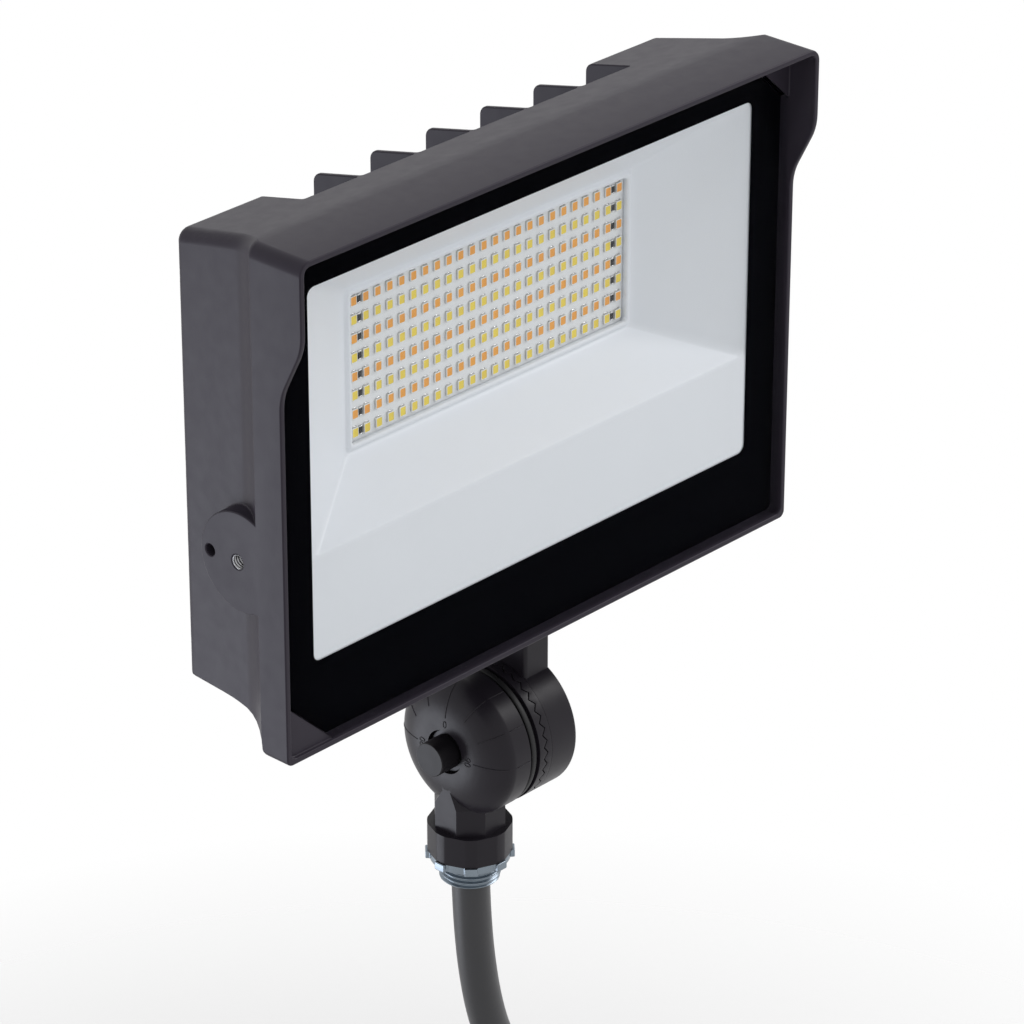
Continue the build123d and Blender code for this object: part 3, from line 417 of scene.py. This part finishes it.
def tooth_ring(name, base_x, lift_x, replaced, body):
    """Ring from a flat base to a zigzag face; lift_x keeps the two faces a hair apart."""
    count = tooth_count * tooth_steps
    toward = 1 if base_x > tooth_low else -1
    rings = []
    for radius, inset, flat in (
        (ring_inner, 0, True), (drum_radius - edge_break, 0, True), (drum_radius, edge_break, True),
        (drum_radius, edge_break, False), (drum_radius - face_break, 0, False),
        (ring_inner, 0, False),
    ):
        ring = []
        for number in range(count):
            wave = abs(2 * ((number / tooth_steps) % 1) - 1)
            x = tooth_low + (tooth_high - tooth_low) * wave + lift_x + toward * inset
            if flat:
                x = base_x - toward * inset
            ring.append(knuckle_point(x, radius, 2 * math.pi * number / count))
        rings.append(ring)
    shape = bmesh.new()
    skin(shape, rings, closed=True)
    new_piece(name, shape, [knuckle_coat], body, [replaced])


tooth_ring("stem_teeth", 7.8 * mm, -tooth_gap, "stem_tooth_ring", "stem")
tooth_ring("head_teeth", 13.9 * mm, tooth_gap, "head_tooth_ring", "head")

# Pivot bolt: black-oxide steel screw with a washer, through both halves of the knuckle into a nut
# on the far side. A moulded black cap is pressed over its head. The washer is black as painted shade
# in the recess round the cap.
cap_plastic = finish(
    "cap_plastic", (0.01, 0.009, 0.011), 0.34, grain=2600, depth=0.003 * mm, gloss=0.14
)
coat(cap_plastic, "bolt_cap")
ease_edges("bolt_cap", 0.35 * mm)
black_oxide_and_shade = finish(
    "black_oxide_and_shade", (0.03, 0.03, 0.032), 0.4, metallic=1.0, grain=1800, depth=0.006 * mm
)
# Bolt and nut are black oxide; the washer's black is painted shade that darkens the recess round the
# bolt cap.
coat(black_oxide_and_shade, "pivot_bolt", "pivot_washer", "pivot_nut")
ease_edges("pivot_nut", 0.4 * mm)

# Head half of the knuckle: drum, arm and foot in one casting, screwed up under the housing on a
# thin rubber gasket.
coat(knuckle_coat, "knuckle_arm")
ease_edges("knuckle_arm", 0.45 * mm)
coat(ring_rubber, "arm_gasket")
coat(zinc, "arm_screws")

# Housing: aluminium die casting with hood, rim, fins and side bosses, in dark bronze powder coat
# with a fine satin grain.
bronze_coat = finish(
    "bronze_coat", (0.031, 0.0265, 0.037), 0.4, grain=2400, depth=0.006 * mm, gloss=0.12
)
coat(bronze_coat, "housing")
ease_edges("housing", 0.5 * mm, least=45, clamp=False, flat=1.5)

# Threads in the two yoke holes: M6, tapped after painting, so that they are bare aluminium. A yoke
# can be screwed on here in place of the knuckle.
bare_metal = finish(
    "bare_metal", (0.34, 0.34, 0.35), 0.28, metallic=1.0, grain=2000, depth=0.005 * mm
)
tap_root = 2.46 * mm
tap_height = 0.42 * mm
tap_wall = 2.49 * mm
tap_pitch = 1.0 * mm
tap_start = 0.3 * mm
tap_depth = 9.0 * mm
tap_lead = 0.05 * mm
tap_around = 48
tap_rows = 72


def hole_ring(mouth, side_way, inward, radii):
    """Points round a side hole this far in from its mouth, one for each radius."""
    ring = []
    for number, radius in enumerate(radii):
        turn = 2 * math.pi * number / len(radii)
        offset = (-side_way * inward, radius * math.cos(turn), radius * math.sin(turn))
        ring.append(mouth + Vector(offset))
    return ring


for side_name, side_way in (("left", -1), ("right", 1)):
    mouth = Vector((side_way * 121 * mm, -15.3 * mm, 164.3 * mm))
    rings = []
    for row in range(tap_rows + 1):
        inward = row / tap_rows * tap_depth + tap_start
        phases = [(inward / tap_pitch + number / tap_around) % 1 for number in range(tap_around)]
        radii = [tap_root - tap_height * (1 - abs(2 * phase - 1)) for phase in phases]
        rings.append(hole_ring(mouth, side_way, inward, radii))
    for inward in (tap_start + tap_depth + tap_lead, tap_start - tap_lead):
        rings.append(hole_ring(mouth, side_way, inward, [tap_wall] * tap_around))
    tapped = bmesh.new()
    skin(tapped, rings, closed=True)
    new_piece(side_name + "_tapped_thread", tapped, [bare_metal], "head")

# Rear cover: flat cast lid over the driver, on a rubber gasket, held by six screws, with a
# pull-out rubber plug over the selector switches.
coat(bronze_coat, "rear_cover")
ease_edges("rear_cover", 0.4 * mm)
coat(ring_rubber, "rear_cover_gasket", "selector_plug")
ease_edges("selector_plug", 0.5 * mm)
dark_steel = finish("dark_steel", (0.09, 0.09, 0.1), 0.35, metallic=1.0, grain=1800, depth=0.006 * mm)
coat(dark_steel, "rear_cover_screws")
ease_edges("rear_cover_screws", 0.5 * mm)

# Selector board: green circuit board screwed in behind the plug, with two moulded slide switches
# for colour and power.
board_green = finish("board_green", (0.02, 0.16, 0.05), 0.35, grain=900, depth=0.01 * mm)
switch_black = finish("switch_black", (0.02, 0.02, 0.021), 0.4, grain=1500, depth=0.005 * mm)
lever_white = finish("lever_white", (0.75, 0.75, 0.73), 0.4, grain=1500, depth=0.004 * mm)
coat(board_green, "selector_board")
coat(switch_black, "selector_switches")
coat(lever_white, "colour_selector", "power_selector")
coat(zinc, "selector_board_screws")
for name in ("colour_selector", "power_selector"):
    ease_edges(name, 0.2 * mm)

# Driver: white moulded case, screwed down behind the rear cover, with its insulated leads and the
# clear splice connectors that join them.
case_white = finish("case_white", (0.55, 0.55, 0.56), 0.5, grain=900, depth=0.01 * mm)
lead_red = finish("lead_red", (0.35, 0.03, 0.02), 0.45, grain=1500, depth=0.006 * mm)
splice_clear = finish("splice_clear", (0.6, 0.6, 0.58), 0.3, grain=1200, depth=0.004 * mm)
coat(case_white, "driver_case")
coat(zinc, "driver_screws")
coat(lead_red, "board_leads", "supply_leads", "driver_leads", "stem_leads")
coat(splice_clear, "splice_connectors")
ease_edges("driver_case", 1.0 * mm)

# LED board: white solder mask on an aluminium sheet, screwed to the heat sink over a grey thermal
# pad. Its moulded connector takes the leads of the driver.
board_white = finish(
    "board_white", (0.86, 0.87, 0.88), 0.45, grain=500, depth=0.01 * mm, uneven=0.04
)
coat(board_white, "led_board")
coat(finish("pad_grey", (0.3, 0.32, 0.34), 0.7, grain=700, depth=0.01 * mm), "thermal_pad")
coat(lever_white, "board_connector")
ease_edges("board_connector", 0.4 * mm)
coat(zinc, "board_screws")

# LEDs: 24 by 8 moulded packages, 2.8 by 3.5 mm, rows of warm and cool phosphor by turns, soldered
# to the board at top and bottom.
package_white = finish("package_white", (0.88, 0.87, 0.83), 0.35, grain=3000, depth=0.004 * mm)
solder = finish("solder", (0.6, 0.6, 0.6), 0.25, metallic=1.0, grain=4000, depth=0.01 * mm)
glass_back = -31.2 * mm
window_middle = 192.3 * mm
board_depth = 22.2 * mm
led_rows = 8
led_columns = 24
column_pitch = 5.43 * mm
row_pitch = 6.56 * mm
field_middle = 17.25 * mm
solder_offset = 1.85 * mm


def led_place(row, column):
    """Middle of a package, across and above the middle of the window."""
    x = (column - (led_columns - 1) / 2) * column_pitch
    z = field_middle + ((led_rows - 1) / 2 - row) * row_pitch
    return x, z


def ring_points(half, low, high, corner, steps, depth, middle=0.0):
    """Rectangle with round corners at this depth behind the glass, anticlockwise from the front."""
    points = []
    for side_x, side_z, start in ((1, 1, 0), (-1, 1, 90), (-1, -1, 180), (1, -1, 270)):
        centre_x = middle + side_x * (half - corner)
        centre_z = high - corner if side_z > 0 else low + corner
        for step in range(steps + 1):
            angle = math.radians(start + 90 * step / steps)
            points.append((
                centre_x + corner * math.cos(angle), glass_back + depth,
                window_middle + centre_z + corner * math.sin(angle),
            ))
    return points


def closed_block(shape, rings, side_index, top_index):
    """Skin with a face at both ends, and the material numbers of its sides and its top."""
    first = len(shape.faces)
    loops = skin(shape, rings)
    top = shape.faces.new(loops[-1])
    shape.faces.new(list(reversed(loops[0])))
    for face in list(shape.faces)[first:]:
        face.material_index = side_index
    top.material_index = top_index


for name, replaced, first_row, colour, slot in (
    ("warm_packages", "warm_leds", 0, (1.0, 0.4, 0.07), "warm_phosphor"),
    ("cool_packages", "cool_leds", 1, (0.98, 0.7, 0.1), "cool_phosphor"),
):
    phosphor = finish(name + "_phosphor", colour, 0.3, grain=1600, depth=0.004 * mm, uneven=0.16)
    shape = bmesh.new()
    for row in range(first_row, led_rows, 2):
        for column in range(led_columns):
            x, z = led_place(row, column)
            rings = [
                ring_points(half, z - tall, z + tall, corner, 3, board_depth - height, x)
                for half, tall, corner, height in (
                    (1.4 * mm, 1.75 * mm, 0.15 * mm, 0.0),
                    (1.4 * mm, 1.75 * mm, 0.15 * mm, 0.72 * mm),
                    (1.34 * mm, 1.69 * mm, 0.15 * mm, 0.8 * mm),
                    (1.22 * mm, 1.5 * mm, 0.35 * mm, 0.8 * mm),
                    (1.18 * mm, 1.46 * mm, 0.33 * mm, 0.7 * mm),
                )
            ]
            closed_block(shape, rings, 0, 1)
    new_piece(name, shape, [package_white, phosphor], "head", [replaced])

solder_shape = bmesh.new()
for row in range(led_rows):
    for column in range(led_columns):
        x, z = led_place(row, column)
        for way in (-1, 1):
            end = z + way * solder_offset
            rings = [
                ring_points(half, end - tall, end + tall, 0.08 * mm, 1, board_depth - height, x)
                for half, tall, height in (
                    (1.0 * mm, 0.25 * mm, -0.05 * mm),
                    (0.95 * mm, 0.22 * mm, 0.12 * mm),
                    (0.8 * mm, 0.12 * mm, 0.2 * mm),
                )
            ]
            closed_block(solder_shape, rings, 0, 0)
new_piece("led_solder", solder_shape, [solder], "head")

# Resistors: one per row and side between the first two and the last two columns, black ceramic
# with tinned ends, soldered to the board.
chip_black = finish("chip_black", (0.012, 0.012, 0.013), 0.4, grain=3000, depth=0.004 * mm)
chip_break = 0.08 * mm
chip_shape = bmesh.new()
for row in range(led_rows):
    for column in (0.5, led_columns - 1.5):
        x, z = led_place(row, column)
        for low, high, half, height, index in (
            (-1.08 * mm, 1.08 * mm, 0.78 * mm, 0.5 * mm, 0),
            (-1.6 * mm, -1.1 * mm, 0.8 * mm, 0.52 * mm, 1),
            (1.1 * mm, 1.6 * mm, 0.8 * mm, 0.52 * mm, 1),
        ):
            rings = [
                ring_points(
                    half - inset, z + low + inset, z + high - inset, 0.05 * mm, 1, board_depth - up, x
                )
                for inset, up in ((0, 0), (0, height - chip_break), (chip_break, height))
            ]
            closed_block(chip_shape, rings, index, index)
new_piece(
    "chip_resistors", chip_shape, [chip_black, solder], "head", ["board_resistors"]
)

# Reflector: one thermoformed tray of satin white polycarbonate. A flat flange lies behind the
# glass, four walls slope in to the LED field, and a rolled lip frames it.
tray_white = finish("tray_white", (0.86, 0.88, 0.92), 0.38, grain=500, depth=0.004 * mm, uneven=0.02)
tray_wall = 1.0 * mm
flange_half = 107.5 * mm
flange_tall = 67.5 * mm
flange_corner = 2 * mm
mouth_corner = 3.5 * mm
corner_steps = 8
# Half the width, the lower edge and the upper edge, from the middle of the window.
opening = (65 * mm, -8.75 * mm, 43.25 * mm)
mouth = (104.5 * mm, -28.2 * mm, 65.1 * mm)
outward_ways = (1, -1, 1)
valley = 2.9 * mm
slope_top = 0.4
slope_low = 20.9
tray_rings = [
    ring_points(
        flange_half - inset, inset - flange_tall, flange_tall - inset, flange_corner, corner_steps,
        depth,
    )
    for inset, depth in ((0, 1.9 * mm), (0, 0.7 * mm), (0.3 * mm, 0.4 * mm))
]


def tray_ring(share, outset, depth, corner):
    """Ring between the LED opening and the mouth of the tray."""
    sizes = [
        near + way * outset + (far - near - way * outset) * share
        for near, far, way in zip(opening, mouth, outward_ways)
    ]
    return ring_points(*sizes, corner, corner_steps, depth)


for beyond, depth in ((1.2, 0.4), (0.5, 0.46), (0.0, 0.62)):
    sizes = [size + way * beyond * mm for size, way in zip(mouth, outward_ways)]
    tray_rings.append(ring_points(*sizes, mouth_corner, corner_steps, depth * mm))
for share in (0.985, 0.97, 0.8, 0.6, 0.4, 0.2, 0.06, 0.03):
    depth = (slope_top + (slope_low - slope_top) * (1 - share)) * mm
    tray_rings.append(tray_ring(share, valley, depth, (1.8 + 2.0 * share) * mm))
for outset, depth in (
    (2.9, 20.75), (2.55, 20.85), (2.2, 20.75), (1.85, 20.4), (1.5, 20.08), (1.1, 19.92), (0.7, 19.95),
    (0.3, 20.15), (0.05, 20.5), (0.0, 21.0), (0.0, 22.05),
):
    tray_rings.append(tray_ring(0, outset * mm, depth * mm, 1.2 * mm + outset * 0.3 * mm))
tray_shape = bmesh.new()
skin(tray_shape, tray_rings)
reflector_tray = new_piece(
    "reflector_tray", tray_shape, [tray_white], "head", ["reflector"]
)
wall = reflector_tray.modifiers.new("wall", "SOLIDIFY")
wall.thickness = tray_wall
wall.offset = -1.0

# Front glass: flat tempered pane with a black ceramic border printed on its back, bedded on a
# rubber gasket.
coat(finish("border_black", (0.002, 0.002, 0.003), 0.5, grain=900, gloss=0.0), "lens_border")
coat(ring_rubber, "lens_gasket")
pane = bpy.data.materials.new("clear_pane")
pane.use_nodes = True
pane_tree = pane.node_tree
pane_tree.nodes.clear()
through = pane_tree.nodes.new("ShaderNodeBsdfTransparent")
through.inputs["Color"].default_value = (0.988, 0.994, 0.996, 1)
mirror = pane_tree.nodes.new("ShaderNodeBsdfGlossy")
mirror.inputs["Roughness"].default_value = 0.03
share_out = pane_tree.nodes.new("ShaderNodeFresnel")
share_out.inputs["IOR"].default_value = 1.045
both = pane_tree.nodes.new("ShaderNodeMixShader")
pane_out = pane_tree.nodes.new("ShaderNodeOutputMaterial")
pane_tree.links.new(share_out.outputs[0], both.inputs[0])
pane_tree.links.new(through.outputs[0], both.inputs[1])
pane_tree.links.new(mirror.outputs[0], both.inputs[2])
pane_tree.links.new(both.outputs[0], pane_out.inputs["Surface"])
coat(pane, "lens_glass")

# Studio: round pale floor under the hanging cord, one large soft lamp up to the right, one low at
# the back left, and even light all round. The world is plain white where the camera or a gloss
# sees it.
floor_low = -275 * mm
floor_radius = 0.5
floor_around = 96
floor_shape = bmesh.new()
loops = skin(floor_shape, [
    level_ring(floor_radius * share, floor_low, floor_around) for share in (1.0, 0.75, 0.5, 0.25)
])
floor_shape.faces.new(loops[-1])
floor_mesh = bpy.data.meshes.new("floor")
floor_shape.to_mesh(floor_mesh)
floor_shape.free()
floor = hang("floor", floor_mesh)
paper = bpy.data.materials.new("floor_paper")
paper.use_nodes = True
paper_tree = paper.node_tree
paper_shader = paper_tree.nodes["Principled BSDF"]
paper_shader.inputs["Base Color"].default_value = (0.9, 0.9, 0.9, 1)
paper_shader.inputs["Roughness"].default_value = 0.9
paper_shader.inputs["Specular IOR Level"].default_value = 0.0
paper_place = paper_tree.nodes.new("ShaderNodeTexCoord")
paper_reach = paper_tree.nodes.new("ShaderNodeVectorMath")
paper_reach.operation = "LENGTH"
paper_fade = paper_tree.nodes.new("ShaderNodeMapRange")
paper_fade.inputs["From Min"].default_value = floor_radius * 0.5
paper_fade.inputs["From Max"].default_value = floor_radius * 0.98
paper_fade.inputs["To Min"].default_value = 1.0
paper_fade.inputs["To Max"].default_value = 0.0
flatten = paper_tree.nodes.new("ShaderNodeVectorMath")
flatten.operation = "MULTIPLY"
flatten.inputs[1].default_value = (1, 1, 0)
paper_tree.links.new(paper_place.outputs["Object"], flatten.inputs[0])
paper_tree.links.new(flatten.outputs[0], paper_reach.inputs[0])
paper_tree.links.new(paper_reach.outputs["Value"], paper_fade.inputs["Value"])
paper_tree.links.new(paper_fade.outputs[0], paper_shader.inputs["Alpha"])
floor_mesh.materials.append(paper)

world = bpy.data.worlds.new("studio")
bpy.context.scene.world = world
world.use_nodes = True
sky_tree = world.node_tree
sky = sky_tree.nodes["Background"]
sky.inputs["Color"].default_value = (1, 1, 1, 1)
rays = sky_tree.nodes.new("ShaderNodeLightPath")
seen = sky_tree.nodes.new("ShaderNodeMath")
seen.operation = "MAXIMUM"
seen_through = sky_tree.nodes.new("ShaderNodeMath")
seen_through.operation = "MAXIMUM"
level = sky_tree.nodes.new("ShaderNodeMapRange")
level.inputs["To Min"].default_value = 0.66
level.inputs["To Max"].default_value = 1.0
sky_tree.links.new(rays.outputs["Is Camera Ray"], seen.inputs[0])
sky_tree.links.new(rays.outputs["Is Glossy Ray"], seen.inputs[1])
sky_tree.links.new(seen.outputs[0], seen_through.inputs[0])
sky_tree.links.new(rays.outputs["Is Transmission Ray"], seen_through.inputs[1])
sky_tree.links.new(seen_through.outputs[0], level.inputs["Value"])
sky_tree.links.new(level.outputs[0], sky.inputs["Strength"])

head_middle = Vector((0, -0.01, 0.19))
for name, place, width, power, tint in (
    ("key_lamp", (1.4, -0.6, 1.15), 1.0, 16.0, (1.0, 0.99, 1.0)),
    ("side_lamp", (-1.0, 1.0, -0.6), 0.9, 9.0, (0.86, 0.9, 1.0)),
):
    lamp = bpy.data.lights.new(name, "AREA")
    lamp.shape = "DISK"
    lamp.size = width
    lamp.energy = power
    lamp.color = tint
    lamp_object = hang(name, lamp)
    lamp_object.location = place
    lamp_object.rotation_mode = "QUATERNION"
    lamp_object.rotation_quaternion = (head_middle - Vector(place)).to_track_quat("-Z", "Y")
bpy.context.scene.view_settings.view_transform = "Standard"
